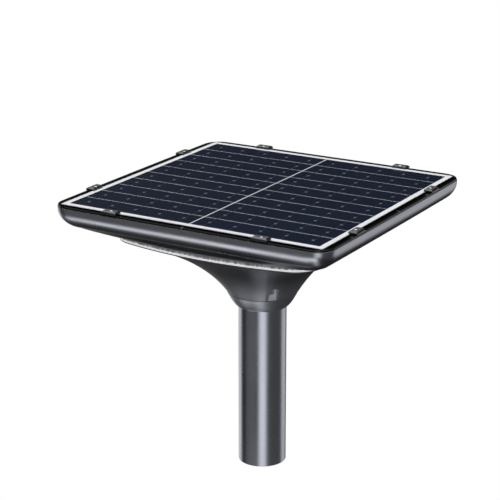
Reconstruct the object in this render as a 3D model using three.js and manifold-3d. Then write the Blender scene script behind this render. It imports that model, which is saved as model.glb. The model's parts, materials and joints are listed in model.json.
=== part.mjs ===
// Solar street lamp: a square solar head with a light ring, gripped on the top of a round pole.
// Millimetres, +Z up. The origin is the centre of the pole's lower end.
// Heights are written as depths below the top of the panel's glass.
import * as THREE from 'three';
import { mergeVertices } from 'three/addons/utils/BufferGeometryUtils.js';
import Module from 'manifold-3d';

const wasm = await Module();
wasm.setup();

// ---- driving dimensions ----
const glassTop = 355;        // height of the glass above the pole's lower end
const gap = 0.3;             // clearance between neighbouring pieces
const quarterTurn = Math.PI / 2;
const cornerTurn = Math.PI / 4;

const pole = { radius: 30, wall: 2.5, topDepth: 78.5 };
const panel = { half: 174, corner: 1.5, glass: 3.2 };
const cells = { half: 167, rows: 10, rowGap: 0.8, centreGap: 2, ribbons: 5, ribbonWidth: 1.2 };
const rim = { half: 184.2, corner: 23 };
const bullnose = { inset: 31.5, drop: 26, start: 5.5, turn: 1.24 };
const dish = { cornerAtStart: 8, bottom: 43.5, fullness: 0.6 };
const ring = { half: 147, corner: 36.5, bow: 469, flankBow: 20000, top: 43.8, bottom: 49 };
const funnel = { top: 49.3, seam: 129, wallShift: 3.5, opening: 118 };
const collar = { radius: 36, bore: 30.6, bottom: 140, stopBore: 25 };
const lip = { bottom: 147, bore: 30.9 };
const flute = { depth: 1.6, halfWidthAtSeam: 7.4, spread: 0.277 };
const pocket = { width: 10.4, floor: 43, archStart: 113.7, screwDepth: 118 };
const clampScrew = { radius: 2.9, tip: 30.5, end: 42.6, socket: 1.7, socketDepth: 3 };
const clip = { length: 20.5, offset: 100, inner: 172.4, outer: 183.9, top: -3.2 };
const clipScrew = { position: 176.6, shank: 1.4, head: 2.5, headTop: -3.4, headBottom: -2.2, tip: 11.5 };
const plate = { half: 128, top: 43.8, bottom: 45.3 };
const bodyScrew = { offset: 106, shank: 2, head: 3.8, headTop: 37.2, headBottom: 40.2, tip: 51.5 };
const cell = { radius: 16.1, length: 70, pitch: 34, depth: 26 };
const caseBox = { width: 80, length: 46, top: 21.5, bottom: 43.5, wall: 2, y: -88 };
const button = { y: 104, radius: 4.6, flange: 5.6, top: 59, bottom: 70 };

const at = (depth) => glassTop - depth;

// ---- finishes: colour, roughness, metalness ----
const finishes = {
  painted: [0x5b5f68, 0.35, 0.6],
  pole: [0x60646d, 0.3, 0.7],
  black: [0x0b0c0e, 0.25, 0],
  glass: [0xdfe8f2, 0.05, 0],
  silicon: [0x141a2c, 0.3, 0.2],
  sheet: [0xe8e8ec, 0.5, 0],
  lens: [0xf2f4f6, 0.12, 0],
  steel: [0xb9bcc2, 0.3, 1],
  rubber: [0x222325, 0.8, 0],
  board: [0x24503a, 0.6, 0],
  ledBoard: [0xf4f2e6, 0.5, 0],
  battery: [0x2f62a8, 0.4, 0.1],
  plastic: [0x2c2e31, 0.6, 0],
  aluminium: [0xa9acb1, 0.4, 0.9],
  cable: [0x1a1a1c, 0.6, 0],
};

const lamp = new THREE.Group();

function add(name, geometry, finish) {
  const [color, roughness, metalness] = finishes[finish];
  const mesh = new THREE.Mesh(geometry, new THREE.MeshStandardMaterial({ color, roughness, metalness }));
  mesh.name = name;
  lamp.add(mesh);
}

// ---- solids ----

// one closed indexed mesh with shared vertices and its faces pointing out
function closed(geometry) {
  const plain = geometry.clone();
  plain.deleteAttribute('normal');
  plain.deleteAttribute('uv');
  const merged = mergeVertices(plain, 1e-4);
  const corner = [0, 1, 2].map(() => new THREE.Vector3());
  const index = merged.index.array;
  let volume = 0;
  for (let i = 0; i < index.length; i += 3) {
    corner.forEach((point, k) => point.fromBufferAttribute(merged.attributes.position, index[i + k]));
    volume += corner[0].dot(corner[1].cross(corner[2]));
  }
  if (volume < 0) {
    for (let i = 0; i < index.length; i += 3) {
      [index[i], index[i + 1]] = [index[i + 1], index[i]];
    }
  }
  return merged;
}

function solid(geometry) {
  const { attributes, index } = closed(geometry);
  const vertProperties = new Float32Array(attributes.position.array);
  const triVerts = new Uint32Array(index.array);
  return new wasm.Manifold(new wasm.Mesh({ numProp: 3, vertProperties, triVerts }));
}

function geometryOf(body) {
  const mesh = body.getMesh();
  const geometry = new THREE.BufferGeometry();
  geometry.setAttribute('position', new THREE.BufferAttribute(mesh.vertProperties, 3));
  geometry.setIndex(new THREE.BufferAttribute(mesh.triVerts, 1));
  return geometry;
}

const joined = (first, ...others) => others.reduce((body, other) => body.add(solid(other)), first);
const cut = (first, ...others) => others.reduce((body, other) => body.subtract(solid(other)), first);

// box, upright cylinder and upright turned body between two depths
function box(width, length, topDepth, bottomDepth, x = 0, y = 0) {
  const geometry = new THREE.BoxGeometry(width, length, bottomDepth - topDepth);
  return geometry.translate(x, y, at((topDepth + bottomDepth) / 2));
}

function post(radius, topDepth, bottomDepth, x = 0, y = 0, segments = 20) {
  const geometry = new THREE.CylinderGeometry(radius, radius, bottomDepth - topDepth, segments);
  return geometry.rotateX(quarterTurn).translate(x, y, at((topDepth + bottomDepth) / 2));
}

function turned(profile, segments, x = 0, y = 0) {
  const points = profile.map(([radius, depth]) => new THREE.Vector2(radius, at(depth)));
  return new THREE.LatheGeometry(points, segments).rotateX(quarterTurn).translate(x, y, 0);
}

// cylinder lying along the radius at the given azimuth, between two distances from the axis
function radialPin(radius, from, to, depth, azimuth, segments = 12) {
  const geometry = new THREE.CylinderGeometry(radius, radius, to - from, segments);
  geometry.rotateZ(quarterTurn).translate((from + to) / 2, 0, at(depth));
  return geometry.rotateZ(azimuth);
}

function squarePrism(half, corner, topDepth, bottomDepth, innerHalf = 0) {
  const outline = roundedRectangle(new THREE.Shape(), half, half, corner);
  if (innerHalf > 0) outline.holes.push(roundedRectangle(new THREE.Path(), innerHalf, innerHalf, corner));
  const options = { depth: bottomDepth - topDepth, bevelEnabled: false, curveSegments: 2 };
  return new THREE.ExtrudeGeometry(outline, options).translate(0, 0, at(bottomDepth));
}

function roundedRectangle(path, halfX, halfY, corner) {
  path.moveTo(halfX, halfY - corner);
  path.absarc(halfX - corner, halfY - corner, corner, 0, quarterTurn);
  path.absarc(-halfX + corner, halfY - corner, corner, quarterTurn, 2 * quarterTurn);
  path.absarc(-halfX + corner, -halfY + corner, corner, 2 * quarterTurn, 3 * quarterTurn);
  path.absarc(halfX - corner, -halfY + corner, corner, 3 * quarterTurn, 4 * quarterTurn);
  return path;
}

function roundedBox(width, length, corner, topDepth, bottomDepth, x, y) {
  const outline = roundedRectangle(new THREE.Shape(), width / 2, length / 2, corner);
  const options = { depth: bottomDepth - topDepth, bevelEnabled: false, curveSegments: 2 };
  return new THREE.ExtrudeGeometry(outline, options).translate(x, y, at(bottomDepth));
}

// round cable through points given as x, y and depth
function cable(points, diameter, steps) {
  const curve = new THREE.CatmullRomCurve3(points.map(([x, y, depth]) => new THREE.Vector3(x, y, at(depth))));
  const section = new THREE.Shape().absarc(0, 0, diameter / 2, 0, 2 * Math.PI);
  const options = { steps, extrudePath: curve, curveSegments: 4, bevelEnabled: false };
  return new THREE.ExtrudeGeometry(section, options);
}

// ---- outlines in plan: rounded squares with bowed sides, as radii in fixed directions ----
const octantSteps = 6;
const directions = [];
for (let quarter = 0; quarter < 4; quarter += 1) {
  const octant = [];
  for (let i = 0; i < octantSteps; i += 1) {
    octant.push(cornerTurn * (1 - (1 - i / octantSteps) ** 2.2));
  }
  const mirrored = octant.slice(1).reverse().map((angle) => quarterTurn - angle);
  [...octant, cornerTurn, ...mirrored].forEach((angle) => directions.push(quarter * quarterTurn + angle));
}

// angle from the middle of the nearest side, 0 to 45 degrees
const foldedAngle = (angle) => cornerTurn - Math.abs((angle % quarterTurn) - cornerTurn);

const slightBow = 20000;
const straight = 2e6;

function roundedSquare(half, corner, bow = slightBow) {
  const sideCentre = half - bow;
  const reach = bow - corner;
  const cornerCentre = (sideCentre + Math.sqrt(2 * reach * reach - sideCentre * sideCentre)) / 2;
  const touchX = sideCentre + ((cornerCentre - sideCentre) * bow) / reach;
  const touch = Math.atan2((cornerCentre * bow) / reach, touchX);
  return directions.map((angle) => {
    const folded = foldedAngle(angle);
    if (folded < touch) {
      const across = sideCentre * Math.sin(folded);
      return sideCentre * Math.cos(folded) + Math.sqrt(bow * bow - across * across);
    }
    const sum = Math.cos(folded) + Math.sin(folded);
    return cornerCentre * sum + Math.sqrt(corner * corner - cornerCentre * cornerCentre * (2 - sum * sum));
  });
}

// outline parallel to the light ring's outer face: front and back are bowed, the two flanks almost straight,
// and all four sides run into the same corner arcs
const ringCornerCentre = (() => {
  const sideCentre = ring.half - ring.bow;
  const reach = ring.bow - ring.corner;
  return (sideCentre + Math.sqrt(2 * reach * reach - sideCentre * sideCentre)) / 2;
})();
const flankHalf = ringCornerCentre + ring.flankBow
  - Math.sqrt((ring.flankBow - ring.corner) ** 2 - ringCornerCentre ** 2);

const ringOutline = (half) => {
  const inset = ring.half - half;
  const bowed = roundedSquare(half, ring.corner - inset, ring.bow - inset);
  const flanks = roundedSquare(flankHalf - inset, ring.corner - inset, ring.flankBow - inset);
  const facesX = (angle) => Math.abs(Math.cos(angle)) > Math.abs(Math.sin(angle));
  return directions.map((angle, i) => (facesX(angle) ? flanks[i] : bowed[i]));
};

const blend = (from, to, share) => from.map((radius, i) => radius + (to[i] - radius) * share);
const section = (radii, depth) => ({ radii, depth });

function sectionPoints(sections) {
  const positions = [];
  sections.forEach(({ radii, depth }) => {
    directions.forEach((angle, i) => {
      positions.push(radii[i] * Math.cos(angle), radii[i] * Math.sin(angle), at(depth));
    });
  });
  return positions;
}

function sideFaces(rows, wrap) {
  const count = directions.length;
  const index = [];
  for (let row = 0; row < (wrap ? rows : rows - 1); row += 1) {
    const above = row * count;
    const below = ((row + 1) % rows) * count;
    for (let i = 0; i < count; i += 1) {
      const next = (i + 1) % count;
      index.push(above + i, below + i, below + next, above + i, below + next, above + next);
    }
  }
  return index;
}

function meshOf(positions, index) {
  const geometry = new THREE.BufferGeometry();
  geometry.setAttribute('position', new THREE.Float32BufferAttribute(positions, 3));
  geometry.setIndex(index);
  return closed(geometry);
}

// hollow loft: the sections go down the outside and back up the inside
const hollowLoft = (sections) => meshOf(sectionPoints(sections), sideFaces(sections.length, true));

// filled loft: flat caps on the first and last sections
function filledLoft(sections) {
  const count = directions.length;
  const positions = sectionPoints(sections);
  const index = sideFaces(sections.length, false);
  const topCentre = positions.length / 3;
  const lastRow = (sections.length - 1) * count;
  positions.push(0, 0, at(sections[0].depth), 0, 0, at(sections[sections.length - 1].depth));
  for (let i = 0; i < count; i += 1) {
    const next = (i + 1) % count;
    index.push(topCentre, i, next, topCentre + 1, lastRow + next, lastRow + i);
  }
  return meshOf(positions, index);
}

const steps = (from, to, count) => Array.from({ length: count }, (_, i) => from + ((to - from) * i) / (count - 1));
const fourTurns = [0, 1, 2, 3].map((k) => k * quarterTurn);

// ---- pole ----
function poleGeometry() {
  const inner = pole.radius - pole.wall;
  const top = pole.topDepth;
  const profile = [[inner, glassTop], [pole.radius, glassTop], [pole.radius, top], [inner, top], [inner, glassTop]];
  return closed(turned(profile, 36));
}

// ---- tray: bullnose edge, dished underside, ledge under the panel, flange over the light ring ----
function bullnoseSection(turn) {
  const inset = bullnose.inset * (1 - Math.cos(turn));
  const share = (1 - Math.cos(turn)) / (1 - Math.cos(bullnose.turn));
  const corner = rim.corner + (dish.cornerAtStart - rim.corner) * share;
  return section(roundedSquare(rim.half - inset, corner), bullnose.start + bullnose.drop * Math.sin(turn));
}

function dishSection(share) {
  const start = bullnoseSection(bullnose.turn);
  const fall = share + dish.fullness * share * (1 - share);
  const depth = start.depth + (dish.bottom - start.depth) * fall;
  return section(blend(start.radii, ringOutline(ring.half), share), depth);
}

const ledge = { inner: 158, top: 7.6, bottom: 10.1 };
const flange = { inner: 132, top: 40.5, earRadius: 15 };

function trayGeometry() {
  const wallHalf = 180.7;
  const wallCorner = 15.5;
  const outside = [
    section(roundedSquare(183.7, 22.5), 2.35),
    section(roundedSquare(rim.half, rim.corner), 3.4),
    ...steps(0, bullnose.turn, 5).map(bullnoseSection),
    ...steps(1 / 3, 1, 3).map(dishSection),
  ];
  const inside = [
    section(ringOutline(flange.inner), dish.bottom),
    section(ringOutline(flange.inner), flange.top),
    section(ringOutline(143.5), flange.top),
    section(blend(roundedSquare(154, 8), ringOutline(154), 0.5), 36.2),
    section(roundedSquare(161.5, 6), 27.4),
    section(roundedSquare(173.3, 11), 21.5),
    section(roundedSquare(179.5, 15), 13),
    section(roundedSquare(179.5, 15), ledge.bottom),
    section(roundedSquare(ledge.inner, 4), ledge.bottom),
    section(roundedSquare(ledge.inner, 4), ledge.top),
    section(roundedSquare(wallHalf, wallCorner), ledge.top),
    section(roundedSquare(wallHalf, wallCorner), 2.35),
  ];
  let body = solid(hollowLoft([...outside, ...inside]));
  for (const turn of fourTurns) {
    const ear = post(flange.earRadius, flange.top, dish.bottom, bodyScrew.offset, bodyScrew.offset, 16);
    body = joined(body, ear.rotateZ(turn));
    body = cut(body, post(bodyScrew.shank + 0.4, flange.top - 1, dish.bottom + 1,
      bodyScrew.offset, bodyScrew.offset, 10).rotateZ(turn));
    for (const side of [-1, 1]) {
      const hole = post(clipScrew.shank + 0.5, 7, 11, clipScrew.position, side * clip.offset, 8);
      body = cut(body, hole.rotateZ(turn));
    }
  }
  return geometryOf(body);
}

// ---- bezel: lip, groove floor and web, split at the middle of each side ----
function bezelRing() {
  return solid(hollowLoft([
    section(roundedSquare(183.5, 22.3), 0.85),
    section(roundedSquare(183.5, 22.3), 2.05),
    section(roundedSquare(180.4, 16), 2.05),
    section(roundedSquare(180.4, 16), 7.3),
    section(roundedSquare(174.6, 1, straight), 7.3),
    section(roundedSquare(174.6, 1, straight), 4.2),
    section(roundedSquare(178.7, 16, straight), 4.2),
    section(roundedSquare(178.7, 16, straight), 0.85),
  ]));
}

function bezelCorner(whole, turn) {
  const seam = 0.2;
  const size = 200;
  const quadrant = box(size, size, -5, 20, seam + size / 2, seam + size / 2);
  let body = whole.intersect(solid(quadrant.rotateZ(turn)));
  for (const [x, y] of [[clipScrew.position, clip.offset], [clip.offset, clipScrew.position]]) {
    body = cut(body, post(clipScrew.shank + 0.5, 3, 9, x, y, 8).rotateZ(turn));
  }
  return geometryOf(body);
}

// ---- panel clips and their screws; built on the +X side, then turned into place ----
function clipGeometry(side, turn) {
  const { inner, outer, top, length } = clip;
  const outline = new THREE.Shape([
    [inner, -gap], [inner, -1.9], [inner + 1.5, top], [outer - 2.1, top], [outer, -1.2],
    [outer, 0.55], [178.4, 0.55], [178.4, 3.9], [174.4, 3.9], [174.4, -gap],
  ].map(([radius, depth]) => new THREE.Vector2(radius, -depth)));
  const bar = new THREE.ExtrudeGeometry(outline, { depth: length, bevelEnabled: false });
  bar.translate(0, 0, -length / 2).rotateX(quarterTurn).translate(0, 0, glassTop);
  let body = solid(bar);
  for (const end of [-1, 1]) {
    const wedge = new THREE.BoxGeometry(30, 8, 8).rotateX(end * cornerTurn);
    body = cut(body, wedge.translate(176, (end * length) / 2, at(top - 3.8)));
  }
  body = cut(body, box(5, 8, 0.6, 5, clipScrew.position));
  body = cut(body, post(clipScrew.head + gap, top - 1, clipScrew.headBottom + gap, clipScrew.position, 0, 12));
  body = cut(body, post(clipScrew.shank + 0.5, top - 1, 5, clipScrew.position, 0, 8));
  return geometryOf(body).translate(0, side * clip.offset, 0).rotateZ(turn);
}

function clipScrewGeometry(side, turn) {
  const { shank, head, headTop, headBottom, tip } = clipScrew;
  const profile = [[0, headTop], [head * 0.75, headTop], [head, headTop + 0.5], [head, headBottom],
    [shank, headBottom], [shank, tip], [0, tip]];
  return closed(turned(profile, 10, clipScrew.position, side * clip.offset)).rotateZ(turn);
}

// ---- panel laminate ----
function cellString(side) {
  const pitch = (2 * cells.half) / cells.rows;
  const width = cells.half - cells.centreGap / 2;
  const centre = side * (cells.half - width / 2);
  const strip = pitch - cells.rowGap;
  const rows = steps(-cells.half + pitch / 2, cells.half - pitch / 2, cells.rows);
  const ribbonPitch = width / cells.ribbons;
  const ribbons = steps(ribbonPitch / 2, width - ribbonPitch / 2, cells.ribbons);
  const span = 2 * cells.half - cells.rowGap;
  let body = solid(box(width, strip, 3.75, 4, centre, rows[0]));
  body = joined(body, ...rows.slice(1).map((y) => box(width, strip, 3.75, 4, centre, y)));
  const ribbonX = (offset) => centre - width / 2 + offset;
  body = joined(body, ...ribbons.map((offset) => box(cells.ribbonWidth, span, 3.5, 3.8, ribbonX(offset))));
  return geometryOf(body);
}

// ---- light ring, its seals and the light strip ----
const lensRing = () => hollowLoft([
  section(ringOutline(ring.half), ring.top),
  section(ringOutline(ring.half), ring.bottom),
  section(ringOutline(145), ring.bottom),
  section(ringOutline(145), 48),
  section(ringOutline(139.3), 48),
  section(ringOutline(139.3), 44.8),
  section(ringOutline(145), 44.8),
  section(ringOutline(145), ring.top),
]);

const band = (outerHalf, innerHalf, topDepth, bottomDepth) => hollowLoft([
  section(ringOutline(outerHalf), topDepth),
  section(ringOutline(outerHalf), bottomDepth),
  section(ringOutline(innerHalf), bottomDepth),
  section(ringOutline(innerHalf), topDepth),
]);

const ledStrip = { outer: 135, inner: 133.8, top: 44, bottom: 48.8, perSide: 5, spread: 90 };

function ledStripGeometry() {
  let body = solid(band(ledStrip.outer, ledStrip.inner, ledStrip.top, ledStrip.bottom));
  const inset = ring.half - ledStrip.outer;
  fourTurns.forEach((turn, side) => {
    const onFlank = side % 2 === 0;
    const bow = (onFlank ? ring.flankBow : ring.bow) - inset;
    const half = (onFlank ? flankHalf : ring.half) - inset;
    for (const along of steps(-ledStrip.spread, ledStrip.spread, ledStrip.perSide)) {
      const tilt = Math.asin(along / bow);
      const chip = new THREE.BoxGeometry(1, 3.5, 2.8).translate(bow + 0.3, 0, 0).rotateZ(tilt);
      body = joined(body, chip.translate(half - bow, 0, at(46.4)).rotateZ(turn));
    }
  });
  return geometryOf(body);
}

// ---- funnel: bowed square at the ring, circle at the seam ----
const funnelCurve = new THREE.CubicBezierCurve(
  new THREE.Vector2(146, 50.3),
  new THREE.Vector2(72.5, 76.1),
  new THREE.Vector2(51.6, 118.8),
  new THREE.Vector2(44, funnel.seam),
);

// section of half width at a corner-to-circle share that fades towards the seam
function funnelSection(half, depth, shapeHalf, withFlute) {
  const square = ringOutline(ring.half).map((radius) => radius / ring.half);
  const share = (shapeHalf - 44) / (146 - 44);
  const squareness = 1 - (1 - share) ** 2;
  const fluteHalf = flute.halfWidthAtSeam + flute.spread * (half - 44);
  return section(directions.map((angle, i) => {
    const radius = half * (1 + (square[i] - 1) * squareness);
    const across = (radius * Math.sin(cornerTurn - foldedAngle(angle))) / fluteHalf;
    return withFlute ? radius - flute.depth * Math.max(0, 1 - across * across) : radius;
  }), depth);
}

function funnelOutside() {
  const edge = [
    section(ringOutline(ring.half), funnel.top),
    section(ringOutline(ring.half), funnel.top + 0.7),
  ];
  const flare = steps(0, 1, 10).map((share) => {
    const point = funnelCurve.getPoint(share);
    return funnelSection(point.x, point.y, point.x, share > 0);
  });
  return solid(filledLoft([...edge, ...flare]));
}

function funnelInside() {
  const openingBottom = 52.5;
  const opening = [funnel.top - 1, openingBottom].map((depth) => section(ringOutline(funnel.opening), depth));
  const flare = steps(0.12, 0.84, 6).map((share) => {
    const point = funnelCurve.getPoint(share);
    return funnelSection(point.x - 0.5, point.y - funnel.wallShift, point.x, false);
  });
  flare.unshift(section(flare[0].radii, openingBottom));
  return solid(filledLoft([...opening, ...flare]));
}

function pocketCutter() {
  const half = pocket.width / 2;
  const arch = new THREE.Shape();
  arch.moveTo(-half, -(funnel.seam + 1));
  arch.lineTo(half, -(funnel.seam + 1));
  arch.lineTo(half, -pocket.archStart);
  arch.absarc(0, -pocket.archStart, half, 0, Math.PI);
  const prism = new THREE.ExtrudeGeometry(arch, { depth: 40, bevelEnabled: false, curveSegments: 6 });
  return prism.rotateX(quarterTurn).rotateZ(quarterTurn).translate(pocket.floor, 0, glassTop);
}

function funnelGeometry() {
  const outside = funnelOutside();
  let body = outside.subtract(funnelInside());
  body = joined(body, post(collar.radius, pole.topDepth - 3.5, collar.bottom, 0, 0, 36));
  for (const turn of fourTurns) {
    const azimuth = turn + cornerTurn;
    const pad = box(24, 18, 103, 126, 46).rotateZ(azimuth);
    body = body.add(outside.intersect(solid(pad)));
    body = joined(body, post(6, plate.bottom + gap, 56, bodyScrew.offset, bodyScrew.offset, 12).rotateZ(turn));
  }
  const buttonPad = solid(post(14, 57, 85, 0, button.y, 20));
  body = body.add(outside.intersect(buttonPad));
  body = body.add(solid(band(133.5, 131.2, 46.2, funnel.top + 0.5)));
  body = cut(body,
    post(collar.bore, pole.topDepth - gap, collar.bottom + 1, 0, 0, 36),
    post(collar.stopBore, pole.topDepth - 5, pole.topDepth + 1, 0, 0, 24),
    post(9.5, 66, 90, 0, button.y, 20),
    post(6.3, 56, 67, 0, button.y));
  for (const turn of fourTurns) {
    const azimuth = turn + cornerTurn;
    body = cut(body,
      pocketCutter().rotateZ(azimuth),
      radialPin(clampScrew.radius + gap, 29, pocket.floor + 1, pocket.screwDepth, azimuth),
      post(bodyScrew.shank + 0.5, plate.bottom, 52, bodyScrew.offset, bodyScrew.offset, 8).rotateZ(turn));
  }
  return geometryOf(body);
}

// ---- ring pressed on the collar below the seam ----
function collarRing() {
  const recess = collar.radius + gap;
  const curve = new THREE.CubicBezierCurve(
    new THREE.Vector2(44, funnel.seam + gap),
    new THREE.Vector2(41.5, 134.4),
    new THREE.Vector2(36.5, 144),
    new THREE.Vector2(32, lip.bottom),
  );
  const outer = curve.getPoints(6).map((point) => [point.x, point.y]);
  const inner = [[lip.bore, lip.bottom], [lip.bore, collar.bottom + gap], [recess, collar.bottom + gap],
    [recess, funnel.seam + gap]];
  return closed(turned([...outer, ...inner, outer[0]], 36));
}

function clampScrewGeometry(azimuth) {
  const { radius, tip, end, socket, socketDepth } = clampScrew;
  const body = solid(radialPin(radius, tip, end, pocket.screwDepth, azimuth));
  return geometryOf(cut(body, radialPin(socket, end - socketDepth, end + 1, pocket.screwDepth, azimuth, 6)));
}

// ---- inside the head ----
function chassisPlate() {
  const outline = [plate.top, plate.bottom].map((depth) => section(ringOutline(plate.half), depth));
  let body = solid(filledLoft(outline));
  for (const turn of fourTurns) {
    body = cut(body, post(bodyScrew.shank + 0.4, 43, 46, bodyScrew.offset, bodyScrew.offset, 8).rotateZ(turn));
  }
  return geometryOf(cut(body, post(2.4, 43, 46, -20, caseBox.y, 12)));
}

function bodyScrewGeometry(turn) {
  const { offset, shank, head, headTop, headBottom, tip } = bodyScrew;
  const profile = [[0, headTop], [head * 0.7, headTop], [head, headTop + 1], [head, headBottom],
    [shank, headBottom], [shank, tip], [0, tip]];
  return closed(turned(profile, 10, offset, offset)).rotateZ(turn);
}

const cellPlaces = steps(-1.5 * cell.pitch, 1.5 * cell.pitch, 4);

// a cell lies along Y, with its raised terminal towards -Y
function batteryCell(x) {
  const halfLength = cell.length / 2;
  const points = [[0, -halfLength], [cell.radius, -halfLength], [cell.radius, halfLength - 1.5],
    [5, halfLength - 1.5], [5, halfLength], [0, halfLength]].map(([r, y]) => new THREE.Vector2(r, y));
  const body = new THREE.LatheGeometry(points, 16).rotateZ(Math.PI);
  return closed(body.translate(x, 0, at(cell.depth)));
}

function batteryCradle() {
  let body = solid(roundedBox(136, 60, 3, 32, 43.5, 0, 0));
  for (const x of cellPlaces) {
    const trough = new THREE.CylinderGeometry(cell.radius + 0.5, cell.radius + 0.5, 80, 24);
    body = cut(body, trough.translate(x, 0, at(cell.depth)));
  }
  return geometryOf(body);
}

function batteryStrap() {
  const outline = new THREE.Shape([
    [-69.6, 8.4], [69.6, 8.4], [69.6, 42.3], [78, 42.3], [78, 43.5], [68.4, 43.5],
    [68.4, 9.6], [-68.4, 9.6], [-68.4, 43.5], [-78, 43.5], [-78, 42.3], [-69.6, 42.3],
  ].map(([x, depth]) => new THREE.Vector2(x, at(depth))));
  const width = 14;
  const bar = new THREE.ExtrudeGeometry(outline, { depth: width, bevelEnabled: false });
  return closed(bar.rotateX(quarterTurn).translate(0, width / 2, 0));
}

const leads = {
  panel: { diameter: 4.6, wall: [-40, caseBox.y, 28] },
  battery: { diameter: 4, wall: [40, caseBox.y, 28] },
  led: { diameter: 1.6, wall: [15, caseBox.y - caseBox.length / 2, 38] },
  switch: { diameter: 3, wall: [-20, caseBox.y, 42.5] },
};

function controllerCase() {
  const { width, length, top, bottom, wall, y } = caseBox;
  const hole = (lead) => lead.diameter / 2 + 0.6;
  let body = solid(roundedBox(width, length, 3, top, bottom, 0, y));
  body = cut(body, roundedBox(width - 2 * wall, length - 2 * wall, 2, top - 1, bottom - wall, 0, y));
  for (const x of [-33, 33]) {
    for (const side of [-16, 16]) body = joined(body, post(3, 34.9, bottom - 1, x, y + side, 8));
  }
  const slot = (lead) => new THREE.CylinderGeometry(hole(lead), hole(lead), 6, 8);
  const [, ledY, ledDepth] = leads.led.wall;
  body = cut(body,
    slot(leads.panel).rotateZ(quarterTurn).translate(-width / 2, y, at(28)),
    slot(leads.battery).rotateZ(quarterTurn).translate(width / 2, y, at(28)),
    slot(leads.led).translate(leads.led.wall[0], ledY, at(ledDepth)),
    post(hole(leads.switch), bottom - 4, bottom + 1, leads.switch.wall[0], y, 8));
  return geometryOf(body);
}

function controllerBoard() {
  const { y } = caseBox;
  const board = solid(box(74, 40, 33, 34.6, 0, y));
  return geometryOf(joined(board,
    post(6, 26, 33.2, 18, y + 8, 16),
    post(4, 25, 33.2, 4, y + 10, 12),
    post(4, 25, 33.2, -6, y + 10, 12),
    box(12, 8, 31.4, 33.2, -6, y - 10),
    box(8, 8, 31.6, 33.2, 10, y - 10),
    box(10, 6, 29, 33.2, 28, y - 13)));
}

function panelLead() {
  const [x, y, depth] = leads.panel.wall;
  return cable([[-30.5, 90, 11], [-48, 90, 13], [-78, 78, 24], [-92, 40, 34], [-92, -20, 38],
    [-80, -68, 35], [-60, y + 1, depth + 1], [x + 1.6, y, depth]], leads.panel.diameter, 22);
}

function batteryLead() {
  const [x, y, depth] = leads.battery.wall;
  return cable([[51, -37, 26], [51, -48, 26.5], [59, -66, 28], [58, y + 4, depth], [47, y, depth],
    [x - 1.6, y, depth]], leads.battery.diameter, 16);
}

function ledLead() {
  const [x, y, depth] = leads.led.wall;
  return cable([[x, y + 1.6, depth], [x, y - 6, depth], [16.5, -123, 38.8], [18, -128.4, 41.2], [18, -129.2, 43.4],
    [18, -130.3, 44.7], [18, -132.8, 44.85]], leads.led.diameter, 16);
}

function switchLead() {
  const [x, y, depth] = leads.switch.wall;
  return cable([[0, 94.6, 51], [0, 84, 52], [-6, 40, 55], [-15, -20, 55], [x, -60, 54], [x, y + 4, 51],
    [x, y, 47], [x, y, depth - 2]], leads.switch.diameter, 22);
}

// ---- push button in the funnel's rear face ----
const switchHousing = () => closed(turned([
  [0, 47], [9, 47], [9, 56.7], [6, 56.7], [6, 66.5], [4.9, 66.5], [4.9, 61], [5.9, 61], [5.9, 50], [0, 50],
], 16, 0, button.y));

const powerButton = () => closed(turned([
  [0, button.top], [button.flange, button.top], [button.flange, 60.7], [button.radius, 60.7],
  [button.radius, button.bottom - 0.8], [button.radius - 0.8, button.bottom], [0, button.bottom],
], 16, 0, button.y));

class Helix extends THREE.Curve {
  constructor(radius, turns, topDepth, bottomDepth) {
    super();
    Object.assign(this, { radius, turns, topDepth, bottomDepth });
  }

  getPoint(share, target = new THREE.Vector3()) {
    const angle = share * this.turns * 2 * Math.PI;
    const depth = this.topDepth + (this.bottomDepth - this.topDepth) * share;
    return target.set(this.radius * Math.cos(angle), this.radius * Math.sin(angle), at(depth));
  }
}

function buttonSpring() {
  const wire = new THREE.Shape().absarc(0, 0, 0.3, 0, 2 * Math.PI);
  const path = new Helix(4.2, 4, 50.7, 58.3);
  const coil = new THREE.ExtrudeGeometry(wire, { steps: 32, extrudePath: path, curveSegments: 3 });
  return closed(coil.translate(0, button.y, 0));
}

// ---- the lamp ----
add('pole', poleGeometry(), 'pole');
add('funnel', funnelGeometry(), 'painted');
add('collar_ring', collarRing(), 'painted');
add('tray_shell', trayGeometry(), 'painted');

add('lens_ring', lensRing(), 'lens');
add('lens_gasket_upper', band(144.7, 139.6, ring.top, 44.5), 'rubber');
add('lens_gasket_lower', band(144.7, 139.6, 48.3, ring.bottom), 'rubber');
add('led_strip', ledStripGeometry(), 'ledBoard');

add('panel_glass', closed(squarePrism(panel.half, panel.corner, 0, panel.glass)), 'glass');
add('cell_string_left', cellString(-1), 'silicon');
add('cell_string_right', cellString(1), 'silicon');
add('backsheet', closed(squarePrism(panel.half, panel.corner, 4.3, 4.8)), 'sheet');
add('panel_gasket', closed(squarePrism(173.4, panel.corner, 5.1, 7.3, 162)), 'rubber');
add('junction_box', closed(roundedBox(60, 44, 4, 5.1, 16, 0, 90)), 'plastic');

const bezel = bezelRing();
fourTurns.forEach((turn, corner) => {
  add(`bezel_corner_${corner + 1}`, bezelCorner(bezel, turn), 'black');
  [-1, 1].forEach((side, place) => {
    const number = 2 * corner + place + 1;
    add(`panel_clip_${number}`, clipGeometry(side, turn), 'black');
    add(`clip_screw_${number}`, clipScrewGeometry(side, turn), 'steel');
  });
  add(`clamp_screw_${corner + 1}`, clampScrewGeometry(turn + cornerTurn), 'steel');
  add(`body_screw_${corner + 1}`, bodyScrewGeometry(turn), 'steel');
});

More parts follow.
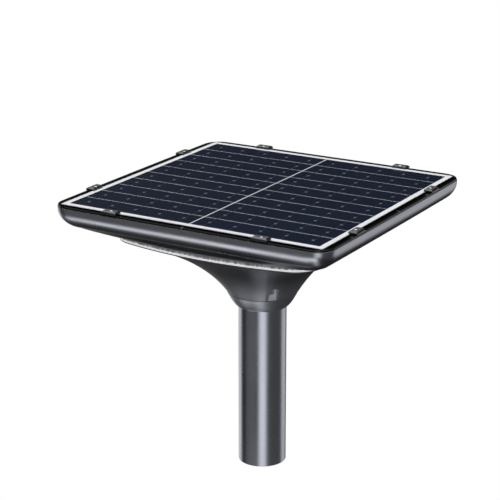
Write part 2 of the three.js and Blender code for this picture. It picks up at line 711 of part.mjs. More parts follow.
add('chassis_plate', chassisPlate(), 'aluminium');
cellPlaces.forEach((x, place) => add(`battery_cell_${place + 1}`, batteryCell(x), 'battery'));
add('battery_cradle', batteryCradle(), 'plastic');
add('battery_strap', batteryStrap(), 'steel');
add('controller_case', controllerCase(), 'plastic');
add('controller_board', controllerBoard(), 'board');
add('switch_housing', switchHousing(), 'plastic');
add('button_spring', buttonSpring(), 'steel');
add('power_button', powerButton(), 'rubber');
add('panel_lead', closed(panelLead()), 'cable');
add('battery_lead', closed(batteryLead()), 'cable');
add('led_lead', closed(ledLead()), 'cable');
add('switch_lead', closed(switchLead()), 'cable');

export default lamp;
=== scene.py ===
"""Looks of the solar street lamp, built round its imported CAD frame. Metres, +Z up."""

import json
import math

import bmesh
import bpy
import numpy as np
from mathutils import Matrix, Vector


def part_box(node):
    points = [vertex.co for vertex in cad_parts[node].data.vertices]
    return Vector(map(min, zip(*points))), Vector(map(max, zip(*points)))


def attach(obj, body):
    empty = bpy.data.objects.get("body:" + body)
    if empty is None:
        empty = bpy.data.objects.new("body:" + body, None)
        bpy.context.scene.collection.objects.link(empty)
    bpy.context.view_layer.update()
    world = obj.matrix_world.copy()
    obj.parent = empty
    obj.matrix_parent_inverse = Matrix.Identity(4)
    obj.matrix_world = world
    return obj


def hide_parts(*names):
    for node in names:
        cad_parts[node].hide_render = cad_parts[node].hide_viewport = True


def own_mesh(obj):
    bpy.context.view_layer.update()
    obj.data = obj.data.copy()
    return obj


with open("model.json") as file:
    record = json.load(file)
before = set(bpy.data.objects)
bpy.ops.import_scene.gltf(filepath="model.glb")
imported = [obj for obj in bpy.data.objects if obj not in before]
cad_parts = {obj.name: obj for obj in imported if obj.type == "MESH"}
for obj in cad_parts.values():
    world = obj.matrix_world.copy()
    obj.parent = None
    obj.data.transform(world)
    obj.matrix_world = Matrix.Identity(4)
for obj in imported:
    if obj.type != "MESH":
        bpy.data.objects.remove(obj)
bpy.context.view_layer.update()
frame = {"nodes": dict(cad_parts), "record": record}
nodes = frame["nodes"]
scene = bpy.context.scene

MM = 0.001
GLASS_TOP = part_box("panel_glass")[1].z
QUARTER = math.pi / 2
CORNER = math.pi / 4


def at(depth):
    """Height of a depth in millimetres below the glass."""
    return GLASS_TOP - depth * MM


# ---- camera ----
CAMERA_BACK = Vector((0.48119, -0.82180, 0.30514))
CAMERA_RIGHT = Vector((0.86295, 0.50529, 0.0))
CAMERA_UP = CAMERA_BACK.cross(CAMERA_RIGHT)
CAMERA_PLACE = Vector((0.9555, -1.6625, GLASS_TOP + 0.5369))
FOCAL_LENGTH, SENSOR_WIDTH = 118.07, 36

camera = bpy.data.objects.new("camera", bpy.data.cameras.new("camera"))
scene.collection.objects.link(camera)
turn = Matrix((CAMERA_RIGHT, CAMERA_UP, CAMERA_BACK)).transposed().to_4x4()
camera.matrix_world = Matrix.Translation(CAMERA_PLACE) @ turn
camera.data.sensor_width = SENSOR_WIDTH
camera.data.lens = FOCAL_LENGTH
camera.data.clip_start = 0.05
camera.data.clip_end = 60
scene.camera = camera
scene.view_settings.view_transform = "Standard"


# ---- node materials ----
def fill(socket, value):
    """Sets a socket to a number or a colour, or links it to another socket."""
    if isinstance(value, (tuple, list)):
        socket.default_value = (*value, 1.0)
    elif isinstance(value, (int, float)):
        socket.default_value = value
    else:
        socket.id_data.links.new(value, socket)


class Nodes:
    """Shorthand for the node tree of a material or a world."""

    def __init__(self, owner):
        owner.use_nodes = True
        self.owner = owner
        self.tree = owner.node_tree
        self.shader = self.tree.nodes.get("Principled BSDF")
        self.coordinates = self.new("TexCoord").outputs
        self.place = self.coordinates["Object"]

    def new(self, kind, **settings):
        node = self.tree.nodes.new("ShaderNode" + kind)
        for key, value in settings.items():
            setattr(node, key, value)
        return node

    def link(self, source, target):
        self.tree.links.new(source, target)

    def noise(self, scale, detail=3.0, roughness=0.55, stretch=(1, 1, 1)):
        mapping = self.new("Mapping")
        mapping.inputs["Scale"].default_value = stretch
        self.link(self.place, mapping.inputs["Vector"])
        node = self.new("TexNoise")
        node.inputs["Scale"].default_value = scale
        node.inputs["Detail"].default_value = detail
        node.inputs["Roughness"].default_value = roughness
        self.link(mapping.outputs["Vector"], node.inputs["Vector"])
        return node.outputs["Fac"]

    def math(self, operation, first, second=None):
        node = self.new("Math", operation=operation)
        fill(node.inputs[0], first)
        if second is not None:
            fill(node.inputs[1], second)
        return node.outputs[0]

    def ranged(self, value, low, high, to_low, to_high, smooth=False):
        node = self.new("MapRange", interpolation_type="SMOOTHSTEP" if smooth else "LINEAR")
        self.link(value, node.inputs["Value"])
        for name, number in (("From Min", low), ("From Max", high), ("To Min", to_low), ("To Max", to_high)):
            node.inputs[name].default_value = number
        return node.outputs["Result"]

    def mixed(self, share, first, second):
        node = self.new("Mix", data_type="RGBA")
        colours = [socket for socket in node.inputs if socket.type == "RGBA"]
        fill(node.inputs["Factor"], share)
        fill(colours[0], first)
        fill(colours[1], second)
        return next(socket for socket in node.outputs if socket.type == "RGBA")

    def split(self, vector):
        """The X, Y and Z of a vector."""
        node = self.new("SeparateXYZ")
        self.link(vector, node.inputs[0])
        return node.outputs

    def bump(self, height, strength, distance):
        node = self.new("Bump")
        node.inputs["Strength"].default_value = strength
        node.inputs["Distance"].default_value = distance
        self.link(height, node.inputs["Height"])
        self.link(node.outputs["Normal"], self.shader.inputs["Normal"])

    def put(self, **values):
        """Sets or links the shader's sockets; underscores stand for spaces."""
        for key, value in values.items():
            fill(self.shader.inputs[key.replace("_", " ")], value)

    def tint(self, share, colour):
        """Mixes a colour over the base colour, by the given share."""
        base = self.shader.inputs["Base Color"]
        self.link(self.mixed(share, base.links[0].from_socket, colour), base)


def new_material(name):
    return Nodes(bpy.data.materials.new(name))


def coated(name, base, rough, metallic=0.0, mottle=0.06, grain=900, peel=0.03, wear=0.04, **extra):
    """Painted, moulded or bare surface: mottled colour, uneven gloss, fine grain and faint scuffs."""
    n = new_material(name)
    cloud = n.noise(14, 4)
    fine = n.noise(grain, 2, 0.6)
    scuff = n.noise(60, 6, 0.7, stretch=(1, 1, 5))
    darker = tuple(c * (1 - mottle) for c in base)
    lighter = tuple(min(1, c * (1 + mottle)) for c in base)
    colour = n.mixed(n.ranged(cloud, 0.35, 0.65, 0, 1), darker, lighter)
    fleck = n.ranged(fine, 0.3, 0.75, 0, 0.3)
    colour = n.mixed(fleck, colour, lighter)
    worn = n.ranged(scuff, 0.62, 0.8, 0, wear)
    gloss = n.ranged(cloud, 0.3, 0.7, rough * 0.9, rough * 1.12)
    n.put(Base_Color=colour, Roughness=n.math("ADD", gloss, worn), Metallic=metallic, **extra)
    n.bump(fine, peel, 0.0001)
    return n.owner


FINISHES = {
    "tray_paint": dict(base=(0.355, 0.365, 0.405), rough=0.29, metallic=0.95, mottle=0.02, peel=0.015),
    "pole_paint": dict(base=(0.445, 0.46, 0.515), rough=0.27, metallic=0.95, mottle=0.03, peel=0.02),
    "housing_paint": dict(base=(0.15, 0.152, 0.165), rough=0.37, metallic=0.8, mottle=0.04, peel=0.02),
    # Painted light: the collar is as light as the funnel's painted foot, standing in for the light its round
    # lip catches.
    "collar_painted_light": dict(base=(0.46, 0.47, 0.52), rough=0.37, metallic=0.85, mottle=0.04, peel=0.02),
    "pocket_metal": dict(base=(0.88, 0.92, 1.0), rough=0.4, mottle=0.05),
    "bezel_black": dict(base=(0.003, 0.0035, 0.0036), rough=0.16, mottle=0.1, peel=0.01,
                        Specular_IOR_Level=0.25),
    # Painted reflection: grey metal on the black band's inner wall.
    "bezel_lip": dict(base=(0.075, 0.075, 0.08), rough=0.3, metallic=0.9, mottle=0.05, peel=0.01),
    # Painted highlight: a pale edge at the band's ends by the seam.
    "seam_edge": dict(base=(0.30, 0.30, 0.31), rough=0.4, mottle=0.05, peel=0.01),
    # Painted shade: the dark sides of the cover glass and the white sheet.
    "panel_edge": dict(base=(0.003, 0.003, 0.0034), rough=0.3, mottle=0.1, Specular_IOR_Level=0.2),
    "clip_black": dict(base=(0.012, 0.0125, 0.014), rough=0.32, mottle=0.1, peel=0.02,
                       Coat_Weight=0.5, Coat_Roughness=0.12),
    "screw_steel": dict(base=(0.72, 0.72, 0.74), rough=0.25, metallic=1.0, mottle=0.06, grain=2500),
    "set_screw_steel": dict(base=(0.52, 0.56, 0.62), rough=0.4, metallic=0.3, mottle=0.1, grain=2500),
    "backsheet": dict(base=(0.93, 0.93, 0.94), rough=0.45, mottle=0.02, peel=0.01),
    "seal_rubber": dict(base=(0.02, 0.02, 0.021), rough=0.75, mottle=0.15, peel=0.2),
    "led_strip": dict(base=(0.85, 0.83, 0.72), rough=0.5, mottle=0.04),
    "inner_plastic": dict(base=(0.035, 0.036, 0.04), rough=0.55, mottle=0.12, peel=0.25),
    "chassis_aluminium": dict(base=(0.60, 0.61, 0.63), rough=0.38, metallic=1.0, mottle=0.06, peel=0.1),
    "battery_sleeve": dict(base=(0.03, 0.13, 0.36), rough=0.3, mottle=0.08),
    "board_green": dict(base=(0.02, 0.11, 0.05), rough=0.35, mottle=0.15, grain=1500),
    "spring_steel": dict(base=(0.55, 0.55, 0.57), rough=0.28, metallic=1.0, mottle=0.05),
    "button_rubber": dict(base=(0.03, 0.03, 0.032), rough=0.6, mottle=0.12, peel=0.2),
    "cable_black": dict(base=(0.016, 0.016, 0.018), rough=0.5, mottle=0.15, peel=0.15),
    "ribbon": dict(base=(0.020, 0.024, 0.040), rough=0.35, mottle=0.1, Specular_IOR_Level=0.35),
    "ribbon_pad": dict(base=(0.13, 0.14, 0.18), rough=0.4, mottle=0.1, Specular_IOR_Level=0.35),
    # Painted light: the bead glows in place of the bright line of light it catches.
    "lens_bead": dict(base=(0.95, 0.95, 0.96), rough=0.15, mottle=0.03, Coat_Weight=0.5, Coat_Roughness=0.05,
                      Emission_Color=(0.97, 0.97, 1.0), Emission_Strength=0.45),
}


def silicon_material():
    """Dark blue cells with faint fingers along X under their cover."""
    n = new_material("silicon")
    finger_pitch, finger_strength = 8.35 * MM, 0.6
    phase = n.math("FRACT", n.math("DIVIDE", n.split(n.place)["Y"], finger_pitch))
    off_centre = n.math("ABSOLUTE", n.math("SUBTRACT", phase, 0.5))
    finger = n.ranged(off_centre, 0.08, 0.18, 1, 0, smooth=True)
    cloud = n.noise(22, 3)
    cell = n.mixed(n.ranged(cloud, 0.3, 0.7, 0, 1), (0.0026, 0.0062, 0.0215), (0.0036, 0.0078, 0.0255))
    colour = n.mixed(n.math("MULTIPLY", finger, finger_strength), cell, (0.045, 0.054, 0.08))
    n.put(Base_Color=colour, Roughness=n.ranged(cloud, 0.3, 0.7, 0.18, 0.24), Coat_Weight=0.25,
          Coat_Roughness=0.05, Specular_IOR_Level=0.35)
    n.bump(n.noise(1500, 2), 0.02, 0.0001)
    return n.owner


def glass_material():
    """Thin clear cover: a faint veil with smears."""
    n = new_material("panel_glass")
    smear = n.noise(9, 5, 0.6)
    n.put(Base_Color=n.mixed(n.ranged(smear, 0.4, 0.7, 0, 1), (0.015, 0.018, 0.024), (0.03, 0.034, 0.042)),
          Roughness=n.ranged(smear, 0.3, 0.7, 0.03, 0.07), Alpha=0.06)
    n.bump(n.noise(300, 2), 0.005, 0.0001)
    return n.owner


def lens_material(name, glow):
    """Clear ribbed plastic with painted light: its glow and its light and dark streaks stand in for the light
    that the ribs catch.
    """
    n = new_material(name)
    streak = n.noise(420, 2, 0.5, stretch=(1, 1, 0.15))
    share = n.ranged(streak, 0.42, 0.58, 0, 1)
    n.put(Base_Color=n.mixed(share, (0.2, 0.2, 0.22), (0.5, 0.5, 0.52)),
          Roughness=n.ranged(streak, 0.3, 0.7, 0.1, 0.22), Coat_Weight=0.5, Coat_Roughness=0.05,
          Emission_Color=n.mixed(share, (0.3, 0.3, 0.32), (0.95, 0.96, 1.0)), Emission_Strength=glow)
    n.bump(n.noise(900, 2), 0.04, 0.0002)
    return n.owner


def painted_light_by_depth(material, start_depth, end_depth, tint):
    """Turns the base colour into a tint between two depths: painted light and shade that follow the height.
    """
    n = Nodes(material)
    height = n.split(n.place)["Z"]
    n.tint(n.ranged(height, at(end_depth), at(start_depth), 1, 0, smooth=True), tint)


def painted_top_light(material, tint):
    """Lightens what faces straight up: a painted highlight on the tops."""
    n = Nodes(material)
    upward = n.split(n.new("NewGeometry").outputs["Normal"])["Z"]
    n.tint(n.ranged(upward, 0.85, 0.98, 0, 1, smooth=True), tint)


materials = {name: coated(name, **finish) for name, finish in FINISHES.items()}
# Painted light: the funnel grows lighter towards its foot, standing in for the light its lower curve
# reflects.
painted_light_by_depth(materials["housing_paint"], 84, 126, (0.46, 0.47, 0.515))
# Painted shade: the tray grows darker on its underside, below the bullnose.
painted_light_by_depth(materials["tray_paint"], 19, 28, (0.16, 0.164, 0.175))
# Painted highlight: the clips' tops are lighter, as if lit from above.
painted_top_light(materials["clip_black"], (0.11, 0.11, 0.12))
materials["silicon"] = silicon_material()
materials["panel_glass"] = glass_material()
# Painted light: both lens materials glow in place of the light the ribs reflect.
materials["lens_clear"] = lens_material("lens_clear", 0.05)
materials["lens_lit"] = lens_material("lens_lit", 0.28)


# ---- meshes ----
def mesh_object(name, verts, faces, slot, sharp=32, extra=(), face_slots=None):
    """A smooth-shaded mesh with creases over the given angle; verts in metres."""
    mesh = bpy.data.meshes.new(name)
    mesh.from_pydata([tuple(v) for v in verts], [], [tuple(int(i) for i in f) for f in faces])
    for key in (slot, *extra):
        mesh.materials.append(materials[key])
    if face_slots is not None:
        mesh.polygons.foreach_set("material_index", face_slots)
    finish_mesh(mesh, sharp)
    obj = bpy.data.objects.new(name, mesh)
    scene.collection.objects.link(obj)
    return obj


def finish_mesh(mesh, sharp=32):
    """Turns every face outwards and shades it smooth, with creases over the given angle."""
    shape = bmesh.new()
    shape.from_mesh(mesh)
    bmesh.ops.recalc_face_normals(shape, faces=shape.faces)
    shape.to_mesh(mesh)
    shape.free()
    mesh.shade_smooth()
    mesh.set_sharp_from_angle(angle=math.radians(sharp))


def boolean(obj, operation, *tools):
    """Joins the tools to obj or cuts them from it, then removes them."""
    for tool in tools:
        modifier = obj.modifiers.new("boolean", "BOOLEAN")
        modifier.operation = operation
        modifier.object = tool
        modifier.solver = "MANIFOLD"
        apply_modifiers(obj)
        bpy.data.objects.remove(tool)


def apply_modifiers(obj):
    graph = bpy.context.evaluated_depsgraph_get()
    mesh = bpy.data.meshes.new_from_object(obj.evaluated_get(graph), depsgraph=graph)
    obj.modifiers.clear()
    obj.data = mesh


def bevel(obj, width, segments, angle):
    modifier = obj.modifiers.new("bevel", "BEVEL")
    modifier.width = width * MM
    modifier.segments = segments
    modifier.limit_method = "ANGLE"
    modifier.angle_limit = math.radians(angle)
    modifier.use_clamp_overlap = True
    apply_modifiers(obj)


def ring_faces(rows, columns, wrap_rows, wrap_columns=True):
    """Faces between rows of verts; a wrapped direction closes on itself."""
    faces = []
    for row in range(rows if wrap_rows else rows - 1):
        above, below = row * columns, ((row + 1) % rows) * columns
        for i in range(columns if wrap_columns else columns - 1):
            j = (i + 1) % columns
            faces.append((above + i, below + i, below + j, above + j))
    return faces


def lofted(name, sections, slot, hollow=True, sharp=32, extra=(), row_slots=None):
    """Sections are (angles, radii in mm, depth in mm). Hollow ones close on themselves, others get caps."""
    columns = len(sections[0][0])
    verts = []
    for angles, radii, depth in sections:
        for angle, radius in zip(angles, radii):
            verts.append((radius * MM * math.cos(angle), radius * MM * math.sin(angle), at(depth)))
    rows = len(sections)
    faces = ring_faces(rows, columns, hollow)
    face_slots = None
    if row_slots is not None:
        face_slots = [row_slots[f // columns] for f in range(len(faces))]
    if not hollow:
        faces.append(tuple(range(columns)))
        faces.append(tuple(reversed(range((rows - 1) * columns, rows * columns))))
        if row_slots is not None:
            face_slots += [0, 0]
    return mesh_object(name, verts, faces, slot, sharp, extra, face_slots)


def turned(name, profile, slot, segments=96, x=0, y=0, sharp=32, closed=True):
    """Profile of (radius, depth) in mm round an upright axis. One that ends on the axis isn't closed."""
    inner = [p for p in profile if p[0] > 1e-6]
    verts = []
    for radius, depth in inner:
        verts += [(a * MM, b * MM, at(depth)) for a, b in circle(radius, segments, x, y)]
    faces = ring_faces(len(inner), segments, closed)
    if not closed:
        verts += [(x * MM, y * MM, at(profile[0][1])), (x * MM, y * MM, at(profile[-1][1]))]
        first, last = len(verts) - 2, len(verts) - 1
        base = (len(inner) - 1) * segments
        for k in range(segments):
            j = (k + 1) % segments
            faces.append((first, k, j))
            faces.append((last, base + j, base + k))
    return mesh_object(name, verts, faces, slot, sharp)


def prism_faces(count):
    """Sides and ends between two outlines of so many points."""
    sides = [(i, (i + 1) % count, count + (i + 1) % count, count + i) for i in range(count)]
    return sides + [tuple(reversed(range(count))), tuple(range(count, 2 * count))]


def prism(name, points, low, high, slot, turn=Matrix.Identity(4)):
    """Upright prism over a plan outline in mm, between two heights in metres, then turned."""
    verts = [turn @ Vector((x * MM, y * MM, z)) for z in (low, high) for x, y in points]
    return mesh_object(name, verts, prism_faces(len(points)), slot)


def circle(radius, segments=32, x=0, y=0):
    return [(x + radius * math.cos(2 * math.pi * k / segments),
             y + radius * math.sin(2 * math.pi * k / segments)) for k in range(segments)]


def spin(turns):
    """Turns by so many quarters about the lamp's axis."""
    return Matrix.Rotation(turns * QUARTER, 4, "Z")


def outwards(quarter, depth):
    """Lays an upright shape along the radius over a corner, at a depth."""
    return spin(quarter + 0.5) @ Matrix.Translation((0, 0, at(depth))) @ Matrix.Rotation(QUARTER, 4, "Y")


# ---- plan outlines: rounded squares with bowed sides ----
SLIGHT_BOW, STRAIGHT = 20000, 2e6
OCTANT_STEPS, OCTANT_CROWDING = 28, 2.2


def octant_angles():
    """Directions over an eighth of a turn, closer together towards the corner."""
    return [CORNER * (1 - (1 - i / OCTANT_STEPS) ** OCTANT_CROWDING) for i in range(OCTANT_STEPS)]


def all_round(flank, front=None):
    """A full turn of directions from those of an octant beside X and one beside Y, 45 degrees left out."""
    front = front or flank
    even = flank + [CORNER] + [QUARTER - a for a in reversed(front[1:])]
    odd = front + [CORNER] + [QUARTER - a for a in reversed(flank[1:])]
    return np.array([q * QUARTER + a for q in range(4) for a in (even, odd)[q % 2]])


def folded(angles):
    """The same directions folded into one octant."""
    return CORNER - np.abs(np.mod(angles, QUARTER) - CORNER)


def rounded_square(angles, half, corner, bow=SLIGHT_BOW):
    """Radii of a square of arcs: sides of radius bow, and corners that they run into smoothly."""
    side = half - bow
    reach = bow - corner
    centre = (side + math.sqrt(2 * reach * reach - side * side)) / 2
    touch = math.atan2(centre * bow / reach, side + (centre - side) * bow / reach)
    a = folded(np.asarray(angles))
    on_side = side * np.cos(a) + np.sqrt(bow * bow - (side * np.sin(a)) ** 2)
    total = np.cos(a) + np.sin(a)
    inside = np.maximum(corner * corner - centre * centre * (2 - total * total), 0)
    return np.where(a < touch, on_side, centre * total + np.sqrt(inside))


RING_HALF, RING_CORNER, RING_BOW, FLANK_BOW = 147, 36.5, 469, 20000
RING_CENTRE = (RING_HALF - RING_BOW
               + math.sqrt(2 * (RING_BOW - RING_CORNER) ** 2 - (RING_HALF - RING_BOW) ** 2)) / 2
FLANK_HALF = RING_CENTRE + FLANK_BOW - math.sqrt((FLANK_BOW - RING_CORNER) ** 2 - RING_CENTRE ** 2)
ROUND = all_round(octant_angles())


def ring_outline(half, angles=ROUND):
    """Front and back are bowed, the flanks almost straight; all run into the same corner arcs."""
    inset = RING_HALF - half
    bowed = rounded_square(angles, half, RING_CORNER - inset, RING_BOW - inset)
    flanks = rounded_square(angles, FLANK_HALF - inset, RING_CORNER - inset, FLANK_BOW - inset)
    return np.where(np.abs(np.cos(angles)) > np.abs(np.sin(angles)), flanks, bowed)


def square_section(half, corner, depth, bow=SLIGHT_BOW):
    return (ROUND, rounded_square(ROUND, half, corner, bow), depth)


def ring_section(half, depth):
    return (ROUND, ring_outline(half), depth)


# ---- tray ----
BODY_SCREW, BUTTON_Y = 106, 104
RIM_HALF, RIM_CORNER = 184.2, 23
BULLNOSE_INSET, BULLNOSE_DROP, BULLNOSE_START, BULLNOSE_TURN = 31.5, 26, 5.5, 1.24
DISH_CORNER, DISH_BOTTOM, DISH_FULLNESS = 8, 43.5, 0.6
TRAY_MOUTH, TRAY_FLOOR, SHOULDER_HALF, EAR_RADIUS = 132, 40.5, 154, 15
# (half width, corner radius, depth) down the rounded rim, and up the inside past the panel's ledge
RIM = ((184.0, 22.75, 3.0), (184.1, 22.85, 3.06), (184.17, 22.95, 3.2), (RIM_HALF, RIM_CORNER, 3.4),
       (RIM_HALF, RIM_CORNER, 4.2))
INNER_WALL = ((161.5, 6, 27.4), (173.3, 11, 21.5), (179.5, 15, 13), (179.5, 15, 10.1), (158, 4, 10.1),
              (158, 4, 7.6), (180.7, 15.5, 7.6), (180.7, 15.5, 3.0))


def bullnose(turn):
    """Section of the round edge, which is part of an ellipse."""
    inset = BULLNOSE_INSET * (1 - math.cos(turn))
    share = (1 - math.cos(turn)) / (1 - math.cos(BULLNOSE_TURN))
    corner = RIM_CORNER + (DISH_CORNER - RIM_CORNER) * share
    return square_section(RIM_HALF - inset, corner, BULLNOSE_START + BULLNOSE_DROP * math.sin(turn))


def dish(share):
    """Section of the underside, on its way from the bullnose in to the light ring."""
    _, start, depth = bullnose(BULLNOSE_TURN)
    fall = share + DISH_FULLNESS * share * (1 - share)
    radii = start + (ring_outline(RING_HALF) - start) * share
    return (ROUND, radii, depth + (DISH_BOTTOM - depth) * fall)


def tray():
    outside = [square_section(*row) for row in RIM]
    outside += [bullnose(BULLNOSE_TURN * k / 18) for k in range(19)]
    outside += [dish(k / 12) for k in range(1, 13)]
    inside = [ring_section(TRAY_MOUTH, DISH_BOTTOM), ring_section(TRAY_MOUTH, TRAY_FLOOR),
              ring_section(143.5, TRAY_FLOOR)]
    between = (rounded_square(ROUND, SHOULDER_HALF, 8) + ring_outline(SHOULDER_HALF)) / 2
    inside.append((ROUND, between, 36.2))
    inside += [square_section(*row) for row in INNER_WALL]
    body = lofted("tray", outside + inside, "tray_paint")
    for k in range(4):
        ear = prism("ear", circle(EAR_RADIUS, 40, BODY_SCREW, BODY_SCREW), at(DISH_BOTTOM), at(TRAY_FLOOR),
                    "tray_paint", spin(k))
        boolean(body, "UNION", ear)
        hole = prism("hole", circle(2.3, 16, BODY_SCREW, BODY_SCREW), at(DISH_BOTTOM + 1), at(TRAY_FLOOR - 1),
                     "tray_paint", spin(k))
        boolean(body, "DIFFERENCE", hole)
    finish_mesh(body.data)
    return body


# ---- funnel ----
FUNNEL_TOP, SEAM, SEAM_RADIUS, SHAPE_TOP = 49.05, 129, 44, 146
FUNNEL_CURVE = np.array([(146, 50.3), (72.5, 76.1), (51.6, 118.8), (44, 129)])
FLUTE_DEPTH, FLUTE_HALF, FLUTE_SPREAD, FLUTE_GROOVE, FLUTE_EDGE = 1.0, 7.4, 0.277, 0.12, 0.6
POCKET_HALF, POCKET_FLOOR, POCKET_ARCH, POCKET_SCREW = 5.2, 43, 113.7, 118
WALL_SKIN, WALL_DROP, MOUTH_HALF, MOUTH_FLOOR = 0.5, 3.5, 118, 52.5
SOCKET_RADIUS, BORE_RADIUS, BORE_TOP, WIRE_HOLE, PAD_HALF = 36, 30.6, 78.2, 25, 9
BOSS_RADIUS, BOSS_TOP, RIB_OUTER, RIB_INNER = 6, 45.6, 133.5, 131.2
SIDE_COLUMNS, FLUTE_COLUMNS, FLARE_STEPS = 22, 10, 48


def bezier(curve, t):
    s = 1 - t
    return s ** 3 * curve[0] + 3 * s * s * t * curve[1] + 3 * s * t * t * curve[2] + t ** 3 * curve[3]


def height_share(shape):
    """0 at the seam and 1 at the top, from the half width there."""
    return (shape - SEAM_RADIUS) / (SHAPE_TOP - SEAM_RADIUS)


def funnel_radii(half, shape, angles=ROUND):
    """Plan outline on its way from the circle at the seam to the light ring's outline at the top."""
    squareness = 1 - (1 - height_share(shape)) ** 2
    return half * (1 + (ring_outline(RING_HALF, angles) / RING_HALF - 1) * squareness)


def funnel_section(half, depth, shape, fluted):
    """Its columns follow the flute's borders, so that they stay crisp."""
    flute_half = FLUTE_HALF + FLUTE_SPREAD * (half - SEAM_RADIUS)

    def octant(mirror):
        reach = 0.15
        for _ in range(6):
            place = CORNER + reach if mirror else CORNER - reach
            radius = float(funnel_radii(half, shape, np.array([place]))[0])
            reach = math.asin(min(0.9, flute_half / radius))
        border, lap = CORNER - reach, FLUTE_EDGE / half
        outer, inner = border - lap, border + lap
        columns = [outer * (1 - (1 - i / SIDE_COLUMNS) ** 1.3) for i in range(SIDE_COLUMNS)] + [outer, border]
        return columns + [inner + (CORNER - inner) * i / FLUTE_COLUMNS for i in range(FLUTE_COLUMNS)]

    angles = all_round(octant(False), octant(True))
    radii = funnel_radii(half, shape, angles)
    if fluted > 0:
        sideways = radii * np.sin(CORNER - folded(angles))
        across = sideways / flute_half
        groove = np.maximum(0, 1 - np.abs(sideways - flute_half) / (FLUTE_EDGE * 0.9))
        dip = FLUTE_DEPTH * (1 + height_share(shape)) * np.maximum(0, 1 - across * across)
        radii = radii - fluted * np.maximum(dip, FLUTE_GROOVE * groove)
    return (angles, radii, depth)


def funnel_shell():
    """The outside as one solid, closed at the top and at the seam."""
    edge = [funnel_section(RING_HALF - cut, FUNNEL_TOP + down, SHAPE_TOP, 0)
            for cut, down in ((0.25, 0), (0, 0.25), (0, 0.8))]
    flare = []
    for k in range(FLARE_STEPS + 1):
        half, depth = bezier(FUNNEL_CURVE, k / FLARE_STEPS)
        flare.append(funnel_section(half, depth, half, min(1, k / 6)))
    foot = [funnel_section(SEAM_RADIUS - 0.3, SEAM + 0.05, SEAM_RADIUS, 1)]
    return lofted("funnel", edge + flare + foot, "housing_paint", hollow=False, extra=("pocket_metal",))


def funnel_hollow():
    """What is cut out of the shell: its inside, less the socket's tube, the pads and the screw bosses."""
    opening = [(ROUND, ring_outline(MOUTH_HALF), d) for d in (FUNNEL_TOP - 1, MOUTH_FLOOR)]
    inner = []
    for k in range(16):
        half, depth = bezier(FUNNEL_CURVE, 0.12 + 0.72 * k / 15)
        inner.append((ROUND, funnel_radii(half - WALL_SKIN, half), depth - WALL_DROP))
    inner.insert(0, (ROUND, inner[0][1], MOUTH_FLOOR))
    hollow = lofted("hollow", opening + inner, "housing_paint", hollow=False)
    standing = [prism("tube", circle(SOCKET_RADIUS, 64), at(141), at(75), "housing_paint"),
                prism("switch_pad", circle(14, 40, 0, BUTTON_Y), at(90), at(57), "housing_paint")]
    pad = [(34, -PAD_HALF), (58, -PAD_HALF), (58, PAD_HALF), (34, PAD_HALF)]
    for k in range(4):
        standing.append(boss(k, 57))
        standing.append(prism("pad", pad, at(126), at(103), "housing_paint", spin(k + 0.5)))
    boolean(hollow, "DIFFERENCE", *standing)
    return hollow


def boss(quarter, low):
    return prism("boss", circle(BOSS_RADIUS, 24, BODY_SCREW, BODY_SCREW), at(low), at(BOSS_TOP),
                 "housing_paint", spin(quarter))


def funnel():
    body = funnel_shell()
    boolean(body, "DIFFERENCE", funnel_hollow())
    collar = prism("collar", circle(SOCKET_RADIUS, 64), at(140), at(128.5), "housing_paint")
    bosses = [boss(k, 50.5) for k in range(4)]
    rib = lofted("rib", [ring_section(RIB_OUTER, 46.2), ring_section(RIB_OUTER, 49.8),
                         ring_section(RIB_INNER, 49.8), ring_section(RIB_INNER, 46.2)], "housing_paint")
    boolean(body, "UNION", collar, rib, *bosses)
    cutters = [prism("bore", circle(BORE_RADIUS, 96), at(141), at(BORE_TOP), "housing_paint"),
               prism("wire_hole", circle(WIRE_HOLE, 64), at(79), at(73), "housing_paint"),
               prism("counterbore", circle(9.5, 40, 0, BUTTON_Y), at(95), at(66), "housing_paint"),
               prism("button_hole", circle(6.3, 32, 0, BUTTON_Y), at(67), at(56), "housing_paint")]
    for k in range(4):
        screw_hole = prism("screw_hole", circle(3.2, 24), 29 * MM, (POCKET_FLOOR + 1) * MM, "housing_paint",
                           outwards(k, POCKET_SCREW))
        body_hole = prism("body_hole", circle(2.5, 16, BODY_SCREW, BODY_SCREW), at(52), at(44),
                          "housing_paint", spin(k))
        cutters += [pocket_cutter(k), screw_hole, body_hole]
    boolean(body, "DIFFERENCE", *cutters)
    finish_mesh(body.data, 9)
    return body


def pocket_cutter(quarter):
    """Arched prism that runs outwards from the pocket's floor. Its floor face is bare metal."""
    arch = [(-POCKET_HALF, -(SEAM + 1)), (POCKET_HALF, -(SEAM + 1))]
    arch += [(POCKET_HALF * math.cos(a), -POCKET_ARCH + POCKET_HALF * math.sin(a))
             for a in np.linspace(0, math.pi, 21)]
    verts = []
    for reach in (POCKET_FLOOR, POCKET_FLOOR + 40):
        verts += [spin(quarter + 0.5) @ Vector((reach * MM, side * MM, GLASS_TOP + up * MM))
                  for side, up in arch]
    face_slots = [0] * len(arch) + [1, 0]
    return mesh_object("pocket", verts, prism_faces(len(arch)), "housing_paint", extra=("pocket_metal",),
                       face_slots=face_slots)


# ---- ring below the seam, pole, light ring ----
POLE_RADIUS, POLE_BORE, POLE_TOP, POLE_EDGE = 30, 27.5, 78.5, 0.2


def collar_ring():
    """Pressed-on ring that rounds the funnel's foot in to the pole."""
    curve = np.array([(44, 129.3), (41.5, 134.4), (36.5, 144), (32, 147)])
    outer = [(43.7, 129.3)] + [tuple(bezier(curve, t)) for t in np.linspace(0.02, 1, 22)]
    inner = [(31.3, 147), (30.9, 146.7), (30.9, 140.3), (36.3, 140.3), (36.3, 129.3)]
    return turned("collar_ring_band", outer + inner, "collar_painted_light", 128)


